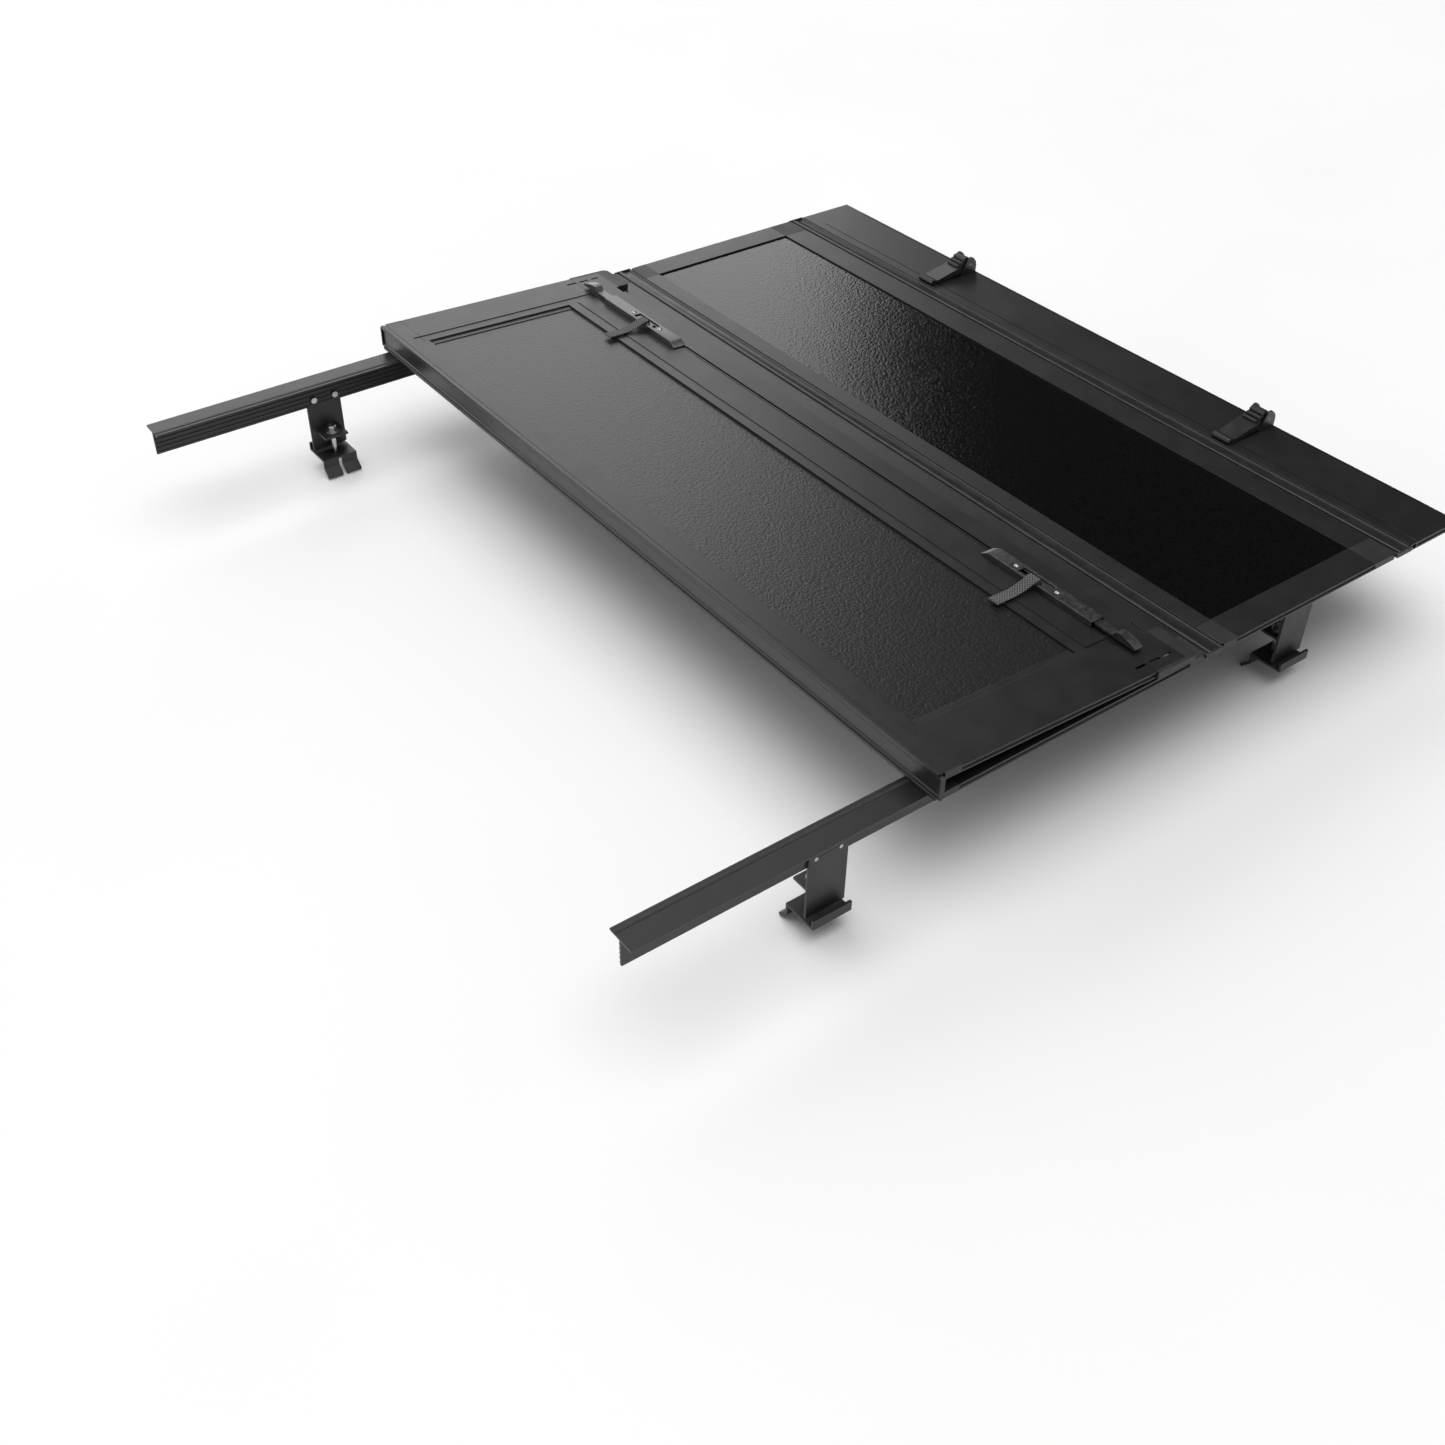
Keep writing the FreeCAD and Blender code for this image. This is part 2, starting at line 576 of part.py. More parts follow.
def latch_strap(tail):
    """The pull strap: round the loop, over the housing's edge and flat along the panel."""
    t = STRAP_THICKNESS
    lie = 0.5
    crest = HOUSING_HEIGHT + 0.9
    start = latch_y(tail, LOOP_OFFSET + LOOP_WIRE_RADIUS + 0.6)
    edge = latch_y(tail, HOUSING_WIDTH / 2 + 1.2)
    end = start + STRAP_LENGTH
    outline = [(start, below(crest)), (edge, below(crest)), (edge + STRAP_SLOPE, below(lie)),
               (end, below(lie)), (end, below(lie + t * 1.8)),
               (end - STRAP_FOLD + 2, below(lie + t * 1.8)), (end - STRAP_FOLD, below(lie + t)),
               (edge + STRAP_SLOPE + 1, below(lie + t)),
               (edge + 1.6, below(crest + t)), (start, below(crest + t))]
    x0, x1 = STRAP_X - STRAP_WIDTH / 2, STRAP_X + STRAP_WIDTH / 2
    centre = (latch_y(tail, LOOP_OFFSET), below(LOOP_HEIGHT))
    eye = rod(LOOP_WIRE_RADIUS + 1.4, x0, x1, centre, "x")
    hole = rod(LOOP_WIRE_RADIUS + 0.1, x0 - 1, x1 + 1, centre, "x")
    return cut(join([prism(outline, x0, x1), eye]), [hole])


def latch_spring(tail):
    """The coil spring under the bolt that pushes it outward."""
    length = SPRING_SPAN[1] - SPRING_SPAN[0] - 2 * SPRING_END_GAP
    helix = Part.makeHelix(length / SPRING_COILS, length, SPRING_RADIUS)
    start = FreeCAD.Vector(SPRING_RADIUS, 0, 0)
    profile = Part.Wire(Part.makeCircle(SPRING_WIRE_RADIUS, start, Y_AXIS))
    coil = Part.Wire(helix).makePipeShell([profile], True, True)
    coil.rotate(FreeCAD.Vector(0, 0, 0), Y_AXIS, 90)
    coil.translate(FreeCAD.Vector(SPRING_SPAN[0] + SPRING_END_GAP, latch_y(tail),
                                  below(SPRING_CENTRE)))
    return coil


# ---- rails and deck -----------------------------------------------------------------------
def skirt_outline(face, direction):
    """The inner face of a skirt from its foot to the lip, with the ribs that stiffen it."""
    points = [(face, -SKIRT_DEPTH)]
    rib = -SKIRT_DEPTH + RIB_PITCH / 2
    while rib < -RIB_PITCH / 2:
        points += [(face, rib - 1.3), (face - direction * RIB_HEIGHT, rib - 0.5),
                   (face - direction * RIB_HEIGHT, rib + 0.5), (face, rib + 1.3)]
        rib += RIB_PITCH
    points.append((face, RAIL_TOP - LIP_THICKNESS))
    return points


def side_rail():
    """The right-hand rail: lip, seal groove, cap flange and ribbed skirt."""
    lip = RAIL_TOP - LIP_THICKNESS
    groove = RAIL_TOP - SEAL_GROOVE_DEPTH
    back = SKIRT_X + SKIRT_THICKNESS
    outline = skirt_outline(SKIRT_X, 1) + [
        (BED_HALF_WIDTH, lip), (BED_HALF_WIDTH, RAIL_TOP), (SEAL_GROOVE[0], RAIL_TOP),
        (SEAL_GROOVE[0], groove), (SEAL_GROOVE[1], groove), (SEAL_GROOVE[1], RAIL_TOP),
        (RAIL_OUTER, RAIL_TOP), (RAIL_OUTER, 0), (back, 0), (back, -SKIRT_DEPTH)]
    rail = prism(outline, along(0), along(RAIL_LENGTH), "y")
    holes = [rod(2.1, lip - 1, RAIL_TOP + 1, point) for point in bracket_screws()
             if point[0] > BED_HALF_WIDTH]
    holes += [rod(3.1, SKIRT_X - 3, back + 1, place, "x") for place in clamp_screws()]
    return cut(rail, holes)


def rail_seal():
    """The strip seal that the panels rest on, pressed into the right-hand rail's groove."""
    x0, x1 = SEAL_GROOVE[0] + 0.1, SEAL_GROOVE[1] - 0.1
    foot = RAIL_TOP - SEAL_GROOVE_DEPTH
    top = RAIL_TOP + 0.7
    outline = [(x0, foot), (x1, foot), (x1, top - 0.6), ((x0 + x1) / 2, top, x0, top - 0.6)]
    return prism(outline, along(0), along(DECK_REAR), "y")


def front_rail():
    """The rail across the cab end, between the two side rails."""
    lip = RAIL_TOP - LIP_THICKNESS
    back = along(FRONT_SKIRT) + SKIRT_THICKNESS
    half = BED_HALF_WIDTH
    outline = skirt_outline(along(FRONT_SKIRT), 1) + [
        (along(FRONT_LIP_REAR), lip), (along(FRONT_LIP_REAR), RAIL_TOP),
        (along(RAIL_LENGTH), RAIL_TOP), (along(RAIL_LENGTH), 0), (back, 0), (back, -SKIRT_DEPTH)]
    rail = prism(outline, -half, half)
    holes = [rod(2.1, lip - 1, RAIL_TOP + 1, point) for point in bracket_screws()
             if point[0] < BED_HALF_WIDTH]
    holes += [rod(3.1, lip - 1, RAIL_TOP + 1, place) for place in deck_screw_places()]
    both = [piece for hole in holes for piece in pair(hole)]
    return cut(rail, both)


def bracket_screws():
    """Places of the screws through the right-hand corner bracket."""
    return [(690.0, along(1425)), (690.0, along(1465)), (630.0, along(1490)), (660.0, along(1490))]


def corner_bracket():
    """The L-shaped plate that joins the right-hand rail to the front rail, under the lips."""
    top = RAIL_TOP - LIP_THICKNESS
    outline = [(615, along(1483)), (683, along(1483)), (683, along(1410)), (699.5, along(1410)),
               (699.5, along(1498.5)), (615, along(1498.5))]
    plate = prism(outline, top - 3, top, "z")
    return cut(plate, [rod(2.1, top - 4, top + 1, point) for point in bracket_screws()])


def bracket_screw(place):
    """A button-head screw driven up through the bracket into a lip."""
    top = RAIL_TOP - LIP_THICKNESS
    return join([rod(2.0, top - 3, RAIL_TOP - 0.2, place), rod(3.8, top - 5.2, top - 3, place)])


def deck_screw_places():
    """Places of the right-hand screws that hold the deck down on the front rail."""
    return [(120.0, along(1490)), (560.0, along(1490))]


def deck_screw(place):
    """A button-head screw driven up through the front rail's lip into the deck."""
    top = RAIL_TOP - LIP_THICKNESS
    return join([rod(3.0, top, RAIL_TOP + 6, place), rod(5.5, top - 3.3, top, place)])


def deck_plate():
    """The hollow plank of the deck, screwed down on the front rail."""
    y0, y1 = along(DECK_REAR + DECK_HINGE_WIDTH), along(RAIL_LENGTH)
    half = DECK_PLATE_HALF_WIDTH
    plank = box((-half, half), (y0, y1), (RAIL_TOP, PANEL_TOP))
    cells = [box((-half - 1, half + 1), (y0 + a, y0 + b), (RAIL_TOP + 2.2, PANEL_TOP - 2.2))
             for a, b in ((3, 44), (64, 73), (88, 93))]
    lines = [box((-half - 1, half + 1), (y0 + a, y0 + b), (PANEL_TOP - DECK_GROOVE_DEPTH, PANEL_TOP + 1))
             for a, b in DECK_GROOVES]
    holes = []
    for x, y in deck_screw_places():
        holes += pair(rod(3.1, RAIL_TOP - 1, RAIL_TOP + 7, (x, y)))
    for x, y in hook_screw_places():
        holes += pair(rod(2.6, PANEL_TOP - 8, PANEL_TOP + 1, (x, y)))
    return cut(plank, cells + lines + holes)


def deck_hinge_member():
    """The deck's rear member, with the socket of the front hinge strip."""
    y0 = along(DECK_REAR)
    half = PANEL_HALF_WIDTH
    bar = box((-half, half), (y0, y0 + DECK_HINGE_WIDTH), (RAIL_TOP, PANEL_TOP))
    cavity = box((-half - 1, half + 1), (y0 + 12, y0 + DECK_HINGE_WIDTH - 3),
                 (RAIL_TOP + 2.2, PANEL_TOP - 2.2))
    return cut(bar, [cavity] + socket_cut(DECK_REAR, 1))


def deck_side_piece():
    """The piece at the right-hand end of the deck plate, over the side rail."""
    def section(points):
        return [(PANEL_HALF_WIDTH - u, RAIL_TOP + v) for u, v in points]

    height = PANEL_TOP - RAIL_TOP
    width = PANEL_HALF_WIDTH - DECK_PLATE_HALF_WIDTH
    outline = section([(0, 0), (0, 3.2), (2.6, 4.2), (2.6, 8.2), (0, 9.2), (0, height),
                       (width, height), (width, 0)])
    body = prism(outline, along(DECK_REAR + DECK_HINGE_WIDTH), along(RAIL_LENGTH), "y")
    cavity = box((DECK_PLATE_HALF_WIDTH + 3, PANEL_HALF_WIDTH - 6),
                 (along(DECK_REAR) + 28, along(RAIL_LENGTH) - 3), (RAIL_TOP + 2.4, PANEL_TOP - 2.2))
    return cut(body, [cavity])


# ---- stow hooks ---------------------------------------------------------------------------
def hook_point(station, height):
    """A point in the plane of a hook, height measured from the deck."""
    return (along(station), PANEL_TOP + height)


def hook_arc(mid, end):
    """An arc entry of a hook's outline."""
    return hook_point(*mid) + hook_point(*end)


def hook_base():
    """The right-hand hook's base: a foot and two cheeks that hold the pin."""
    x0, x1 = HOOK_X - HOOK_WIDTH / 2, HOOK_X + HOOK_WIDTH / 2
    front = RAIL_LENGTH - 0.5
    cheek = [hook_point(HOOK_BLOCK, 0), hook_point(HOOK_BLOCK, 5), hook_point(1511, 27),
             hook_arc((1518, HOOK_BLOCK_HEIGHT - 1), (1527, 29)),
             hook_arc((1533, 22), (front, 8)), hook_point(front, 0)]
    foot = box((x0, x1), (along(HOOK_BLOCK), along(front)), (PANEL_TOP, PANEL_TOP + 4))
    cheeks = [prism(cheek, x0, x0 + CHEEK_THICKNESS), prism(cheek, x1 - CHEEK_THICKNESS, x1)]
    pin_hole = rod(PIN_RADIUS + 0.02, x0 - 1, x1 + 1, hook_point(*HOOK_PIVOT), "x")
    screw_holes = [rod(2.6, PANEL_TOP - 1, PANEL_TOP + 5, place) for place in hook_screw_places()]
    return cut(join([foot] + cheeks), [pin_hole] + screw_holes)


def hook_screw_places():
    """Places of the right-hand hook's two screws."""
    return [(HOOK_X - 8.0, along(1505)), (HOOK_X + 8.0, along(1505))]


def hook_screw(place):
    """A low-head screw through the hook's foot into the deck."""
    return rod(HOOK_SCREW_RADIUS, PANEL_TOP - HOOK_SCREW_LENGTH, PANEL_TOP + 4.2, place)


def hook_lever():
    """The right-hand swinging hook: long arm with a rolled tip, ribbed thumb rest and hub."""
    x0, x1 = HOOK_X - HOOK_WIDTH / 2, HOOK_X + HOOK_WIDTH / 2
    inner0, inner1 = x0 + CHEEK_THICKNESS + CHEEK_GAP, x1 - CHEEK_THICKNESS - CHEEK_GAP
    end, end_height = HOOK_ARM_END
    arm = [hook_point(HOOK_TIP + 5, 0.6), hook_point(HOOK_TIP + 14, 1.2),
           hook_point(1496.5, 5.6), hook_point(1496.5, end_height + 1.5),
           hook_point(end, end_height), hook_point(HOOK_TIP + 16, 7.6),
           hook_point(HOOK_TIP + 11, 8.6),
           hook_arc((HOOK_TIP + 6, 10.4), (HOOK_TIP + 1.2, 7.6)),
           hook_arc((HOOK_TIP, 3.8), (HOOK_TIP + 5, 0.6))]
    thumb = [hook_point(end, end_height - 2)]
    rise = (HOOK_BLOCK_HEIGHT - 1.5 - end_height) / HOOK_RIBS
    run = (1509.0 - end) / HOOK_RIBS
    for k in range(HOOK_RIBS):
        foot = (end + run * k, end_height + rise * k)
        thumb.append(hook_point(*foot))
        thumb.append(hook_arc((foot[0] + run * 0.1, foot[1] + rise * 0.85),
                              (foot[0] + run * 0.75, foot[1] + rise * 1.1)))
    thumb += [hook_point(1510, HOOK_BLOCK_HEIGHT), hook_point(1514, HOOK_BLOCK_HEIGHT),
              hook_point(1515, HOOK_BLOCK_HEIGHT - 4), hook_point(1526, HOOK_BLOCK_HEIGHT - 7),
              hook_point(1530, 17), hook_point(1522, 6.2), hook_point(1499, 5.0),
              hook_point(1494, 5.0)]
    pieces = [prism(arm, x0, x1), prism(thumb, inner0, inner1)]
    bore = rod(PIN_RADIUS + PIN_CLEARANCE, x0 - 1, x1 + 1, hook_point(*HOOK_PIVOT), "x")
    return cut(join(pieces), [bore])


def hook_pin():
    """The right-hand hook's pivot pin, flush with the cheeks."""
    x0, x1 = HOOK_X - HOOK_WIDTH / 2, HOOK_X + HOOK_WIDTH / 2
    return rod(PIN_RADIUS, x0, x1, hook_point(*HOOK_PIVOT), "x")


# ---- bed clamps ---------------------------------------------------------------------------
def clamp_screws():
    """Centres (Y, Z) of the screws that hold each clamp plate on the skirt."""
    return [(along(station) + side * 20.0, -29.0) for station in CLAMP_STATIONS
            for side in (-1, 1)]


def clamp_plate(station):
    """The plate behind the right-hand skirt, with the ledge that carries the bolt."""
    y = along(station)
    half = CLAMP_WIDTH / 2
    back = SKIRT_X + SKIRT_THICKNESS
    plate = box((back, back + CLAMP_THICKNESS), (y - half, y + half), (CLAMP_BOTTOM, CLAMP_TOP))
    ledge = box((CLAMP_INNER, back), (y - LEDGE_WIDTH / 2, y + LEDGE_WIDTH / 2),
                (LEDGE_TOP - CLAMP_THICKNESS, LEDGE_TOP))
    bolt_hole = rod(CLAMP_BOLT_RADIUS + 0.5, LEDGE_TOP - 10, LEDGE_TOP + 1, (CLAMP_BOLT_X, y))
    screw_holes = [rod(3.1, back - 1, back + 10, place, "x") for place in clamp_screws()]
    return cut(join([plate, ledge]), [bolt_hole] + screw_holes)


def clamp_screw(place):
    """A button-head screw through the skirt into the clamp plate."""
    head = rod(5.4, SKIRT_X - RIB_HEIGHT - 3.2, SKIRT_X - RIB_HEIGHT, place, "x")
    shank = rod(3.0, SKIRT_X - RIB_HEIGHT, SKIRT_X + SKIRT_THICKNESS + CLAMP_THICKNESS, place, "x")
    return join([head, shank])


def clamp_bolt(station):
    """The hex bolt that draws the jaw up."""
    place = (CLAMP_BOLT_X, along(station))
    washer_top = LEDGE_TOP + 2
    head = hex_prism(13, washer_top + 2, washer_top + 11, place)
    flange = rod(9.5, washer_top, washer_top + 2, place)
    shank = rod(CLAMP_BOLT_RADIUS, JAW_TOP - 26, washer_top, place)
    return join([head, flange, shank])


def clamp_washer(station):
    """The washer between the bolt and the ledge."""
    place = (CLAMP_BOLT_X, along(station))
    return cut(rod(12.5, LEDGE_TOP, LEDGE_TOP + 2, place),
               [rod(CLAMP_BOLT_RADIUS + 0.2, LEDGE_TOP - 1, LEDGE_TOP + 3, place)])


def clamp_jaw(station):
    """The moving jaw: gripping lip outside, forked foot inside."""
    y = along(station)
    half = CLAMP_WIDTH / 2
    t = CLAMP_THICKNESS
    lean = 14.0
    foot = JAW_TOP - t - 15
    outline = [(CLAMP_INNER, JAW_TOP), (JAW_OUTER - t, JAW_TOP), (JAW_OUTER - t, JAW_TOP + 12),
               (JAW_OUTER, JAW_TOP + 12), (JAW_OUTER, JAW_TOP - t), (CLAMP_INNER + t, JAW_TOP - t),
               (CLAMP_INNER + t, foot), (CLAMP_INNER + t - lean, foot - lean),
               (CLAMP_INNER - lean, foot - lean + t), (CLAMP_INNER, foot + t)]
    jaw = prism(outline, y - half, y + half, "y")
    fork = box((CLAMP_INNER - lean - 3, CLAMP_INNER + t + 1), (y - PRONG_GAP / 2, y + PRONG_GAP / 2),
               (foot - lean - 3, JAW_TOP - t))
    hole = rod(CLAMP_BOLT_RADIUS + 0.4, JAW_TOP - 10, JAW_TOP + 1, (CLAMP_BOLT_X, y))
    return cut(jaw, [fork, hole])


def clamp_nut(station):
    """The nut welded under the jaw."""
    place = (CLAMP_BOLT_X, along(station))
    top = JAW_TOP - CLAMP_THICKNESS
    return cut(hex_prism(13, top - 6.5, top, place),
               [rod(CLAMP_BOLT_RADIUS + 0.3, top - 8, top + 1, place)])


# ---- assembly -----------------------------------------------------------------------------
def fold_link(shape):
    """A piece of the rear hinge strip, turned from flat to upright."""
    copy = shape.copy()
    copy.rotate(FreeCAD.Vector(0, along(MIDDLE_REAR_AXIS), AXIS_Z), X_AXIS, -REAR_LINK_FOLD)
    return copy


def fold_rear(shape):
    """A piece of the rear panel, turned from flat to lying on the middle panel."""
    copy = shape.copy()
    copy.rotate(FreeCAD.Vector(0, along(REAR_PANEL_AXIS), AXIS_Z), X_AXIS, -REAR_PANEL_FOLD)
    return fold_link(copy)


def rear_panel():
    """Every piece of the rear panel, still flat."""
    tail = REAR_PANEL_EDGE - REAR_PANEL_LENGTH
    rear = tail + TAIL_MEMBER_WIDTH
    front = REAR_PANEL_EDGE - HINGE_MEMBER_WIDTH
    shelf = TAIL_SHELF_WIDTH - TAIL_MEMBER_WIDTH
    side = cut(side_member(rear, front, shelf), drain_slot_cuts(tail))
    keys = [corner_key(REAR_PANEL_EDGE, -1, HINGE_MEMBER_WIDTH),
            corner_key(tail, 1, TAIL_MEMBER_WIDTH)]
    return {
        "rear_panel_skin": [skin(rear, front)],
        "rear_panel_side_members": pair(side),
        "rear_panel_hinge_member": [cross_member(REAR_PANEL_EDGE, -1, HINGE_MEMBER_WIDTH)],
        "rear_panel_tail_member": [tail_member(tail)],
        "rear_panel_corner_keys": [piece for key in keys for piece in pair(key)],
        "rear_panel_end_caps": pair(end_cap(REAR_PANEL_EDGE, -1, HINGE_MEMBER_WIDTH))
        + pair(tail_end_cap(tail)),
        "tail_corner_caps": pair(tail_corner_cap(tail)),
        "tail_seal": [tail_seal(tail)],
        "latch_housings": pair(latch_housing(tail)),
        "latch_rivets": [piece for x in RIVET_X for piece in pair(latch_rivet(tail, x))],
        "right_latch_bolt": [latch_bolt(tail)],
        "right_latch_strap": [latch_strap(tail)],
        "right_latch_spring": [latch_spring(tail)],
    }


def main():
    """Build every node and write one STEP file for each."""
    nodes = {}
    nodes.update(panel("front_panel", FRONT_REAR, FRONT_FRONT, HINGE_MEMBER_WIDTH,
                       FRONT_MEMBER_WIDTH))
    nodes.update(panel("middle_panel", MIDDLE_REAR, MIDDLE_FRONT, HINGE_MEMBER_WIDTH,
                       HINGE_MEMBER_WIDTH))
    for name, pieces in rear_panel().items():
        nodes[name] = [fold_rear(piece) for piece in pieces]
    for part in ("bolt", "strap", "spring"):
        nodes["left_latch_" + part] = [mirrored(nodes["right_latch_" + part][0])]

    for name, station in (("front", FRONT_FRONT - AXIS_INSET), ("middle", MIDDLE_FRONT - AXIS_INSET)):
        nodes[name + "_hinge_link"] = [hinge_link(station)]
        nodes[name + "_link_end_caps"] = link_end_caps(station)
    nodes["rear_hinge_link"] = [fold_link(hinge_link(REAR_PANEL_AXIS))]
    nodes["rear_link_end_caps"] = [fold_link(cap) for cap in link_end_caps(REAR_PANEL_AXIS)]

    nodes["right_side_rail"] = [side_rail()]
    nodes["left_side_rail"] = [mirrored(nodes["right_side_rail"][0])]
    nodes["right_rail_seal"] = [rail_seal()]
    nodes["left_rail_seal"] = [mirrored(nodes["right_rail_seal"][0])]
    nodes["front_rail"] = [front_rail()]
    nodes["rail_corner_brackets"] = pair(corner_bracket())
    nodes["rail_bracket_screws"] = [piece for place in bracket_screws()
                                    for piece in pair(bracket_screw(place))]
    nodes["deck_plate"] = [deck_plate()]
    nodes["deck_hinge_member"] = [deck_hinge_member()]
    nodes["deck_side_pieces"] = pair(deck_side_piece())
    nodes["deck_screws"] = [piece for place in deck_screw_places()
                            for piece in pair(deck_screw(place))]

    nodes["hook_bases"] = pair(hook_base())
    nodes["hook_pins"] = pair(hook_pin())
    nodes["hook_screws"] = [piece for place in hook_screw_places()
                            for piece in pair(hook_screw(place))]
    nodes["right_stow_hook"] = [hook_lever()]
    nodes["left_stow_hook"] = [mirrored(nodes["right_stow_hook"][0])]

    both = CLAMP_STATIONS
    nodes["clamp_plates"] = [piece for s in both for piece in pair(clamp_plate(s))]
    nodes["clamp_screws"] = [piece for place in clamp_screws() for piece in pair(clamp_screw(place))]
    nodes["clamp_bolts"] = [piece for s in both for piece in pair(clamp_bolt(s))]
    nodes["clamp_washers"] = [piece for s in both for piece in pair(clamp_washer(s))]
    for end, station in zip(("rear", "front"), both):
        jaw, nut = clamp_jaw(station), clamp_nut(station)
        nodes["right_" + end + "_clamp_jaw"] = [jaw]
        nodes["right_" + end + "_clamp_nut"] = [nut]
        nodes["left_" + end + "_clamp_jaw"] = [mirrored(jaw)]
        nodes["left_" + end + "_clamp_nut"] = [mirrored(nut)]

    os.makedirs("parts", exist_ok=True)
    for name, pieces in nodes.items():
        shape = pieces[0] if len(pieces) == 1 else Part.makeCompound(pieces)
        if not shape.isValid() or len(shape.Solids) != len(pieces):
            print("check", name, shape.isValid(), len(shape.Solids), len(pieces))
        shape.exportStep(os.path.join("parts", name + ".step"))
    print(len(nodes), "nodes")


main()
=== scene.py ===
"""Looks of the folding tonneau cover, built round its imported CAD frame. Metres, +Z up."""
import json
import math

import bmesh
import bpy
from mathutils import Matrix, Vector


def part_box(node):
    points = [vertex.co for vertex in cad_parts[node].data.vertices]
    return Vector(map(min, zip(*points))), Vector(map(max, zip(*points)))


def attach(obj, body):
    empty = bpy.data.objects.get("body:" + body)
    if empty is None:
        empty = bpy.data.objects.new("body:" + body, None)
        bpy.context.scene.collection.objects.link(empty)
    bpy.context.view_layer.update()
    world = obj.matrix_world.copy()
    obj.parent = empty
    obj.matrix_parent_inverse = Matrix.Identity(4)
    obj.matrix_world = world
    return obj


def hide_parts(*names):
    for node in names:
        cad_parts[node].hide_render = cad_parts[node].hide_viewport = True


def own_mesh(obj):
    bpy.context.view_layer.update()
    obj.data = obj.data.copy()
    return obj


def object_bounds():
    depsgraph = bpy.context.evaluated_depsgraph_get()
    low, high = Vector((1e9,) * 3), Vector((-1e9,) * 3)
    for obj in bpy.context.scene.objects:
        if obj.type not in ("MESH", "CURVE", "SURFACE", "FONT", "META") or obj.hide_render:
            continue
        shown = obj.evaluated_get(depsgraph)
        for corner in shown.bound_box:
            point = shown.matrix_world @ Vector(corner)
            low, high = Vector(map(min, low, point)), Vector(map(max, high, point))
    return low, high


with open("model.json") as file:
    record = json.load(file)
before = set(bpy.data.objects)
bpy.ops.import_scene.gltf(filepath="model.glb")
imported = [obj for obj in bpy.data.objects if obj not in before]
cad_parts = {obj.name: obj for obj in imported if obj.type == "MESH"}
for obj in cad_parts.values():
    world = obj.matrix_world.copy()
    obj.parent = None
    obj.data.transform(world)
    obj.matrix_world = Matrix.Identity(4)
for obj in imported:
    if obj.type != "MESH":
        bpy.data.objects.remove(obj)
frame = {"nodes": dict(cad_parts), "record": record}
nodes = frame["nodes"]
cad_low, cad_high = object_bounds()
MM = 0.001

# ---- camera and studio --------------------------------------------------------------------
CAMERA_PLACE = (1.804, -2.204, 1.414)
CAMERA_RIGHT = (0.59305, 0.80508, 0.01202)
CAMERA_UP = (-0.52273, 0.37364, 0.76626)
CAMERA_FORWARD = (-0.61240, 0.46073, -0.64242)
LENS_MM = 41.22
SENSOR_MM = 36.0

# studio light: bearings are turns from +Y towards -X, heights are sines of the elevation, and
# each pair is where one light starts and ends its change into the next
DARK_START = (math.radians(-12), math.radians(4))
WALL_EDGE = (math.radians(47.8), math.radians(49.0))
WALL_END = (math.radians(125), math.radians(150))
WALL_TOP = (0.62, 0.78)
WALL_LIGHT = 1.9
OVERHEAD_EDGE = (0.78, 0.93)
OVERHEAD_LIGHT = 2.4
ROOM_LIGHT = 0.34             # every bearing outside the dark sector and the wall
DARK_LIGHT = 0.028

FLOOR_HALF_WIDTH = 30.0
FLOOR_GAP = 0.5 * MM

# sizes of surface detail
PEBBLE_SIZE = 4.2 * MM
PEBBLE_HEIGHT = 0.21 * MM
POWDER_SIZE = 0.7 * MM
POWDER_HEIGHT = 0.03 * MM
SWELL_SIZE = 130 * MM
SWELL_HEIGHT = 0.3 * MM
EDGE_RADIUS = 0.45 * MM
EDGE_ANGLE = math.radians(35)     # edges that turn more than this are rounded
WELD_DISTANCE = 0.005 * MM

# pull straps: the route's points are in millimetres, away from the wire loop and up from it
STRAP_WIDTH = 20.0 * MM
STRAP_THICKNESS = 1.5 * MM
STRAP_COLUMNS = 32            # faces across the webbing
WEAVE_PITCH = 2.5 * MM
ROWS_PER_PITCH = 4
YARN_RELIEF = 0.10 * MM
SELVAGE_WIDTH = 0.9 * MM      # the edges thin out over this width
SELVAGE_THINNING = 0.55
YARNS_PER_PITCH = 8
ROUTE_STEPS = 24              # points on the curve between two of the route's points
WRAP_RADIUS = 2.1             # wire, clearance and half the webbing, in millimetres
EYE_RADIUS = 2.6 * MM         # of the CAD strap's eye, which sits on the loop's centre
STRAP_START = [(14.0, -2.4), (9.0, -0.95), (5.0, -1.1)]
STRAP_LIE = [(4.0, 1.55), (9.0, 0.65), (14.0, -0.85), (20.0, -3.1), (30.0, -6.2), (42.0, -8.7),
             (54.0, -9.7), (66.0, -9.9), (78.0, -9.9), (81.6, -10.1), (82.6, -10.65),
             (81.6, -11.25), (78.0, -11.4), (67.0, -11.4)]
PANEL_TILT = math.radians(2.55)   # of the folded rear panel, down towards its tail


def link_object(name, data):
    """A new object in the scene."""
    obj = bpy.data.objects.new(name, data)
    bpy.context.scene.collection.objects.link(obj)
    return obj


def add_camera():
    """The camera, where the reference view was taken from."""
    data = bpy.data.cameras.new("camera")
    data.lens = LENS_MM
    data.sensor_width = SENSOR_MM
    camera = link_object("camera", data)
    turn = Matrix((CAMERA_RIGHT, CAMERA_UP, [-c for c in CAMERA_FORWARD])).transposed()
    camera.matrix_world = Matrix.Translation(CAMERA_PLACE) @ turn.to_4x4()
    bpy.context.scene.camera = camera


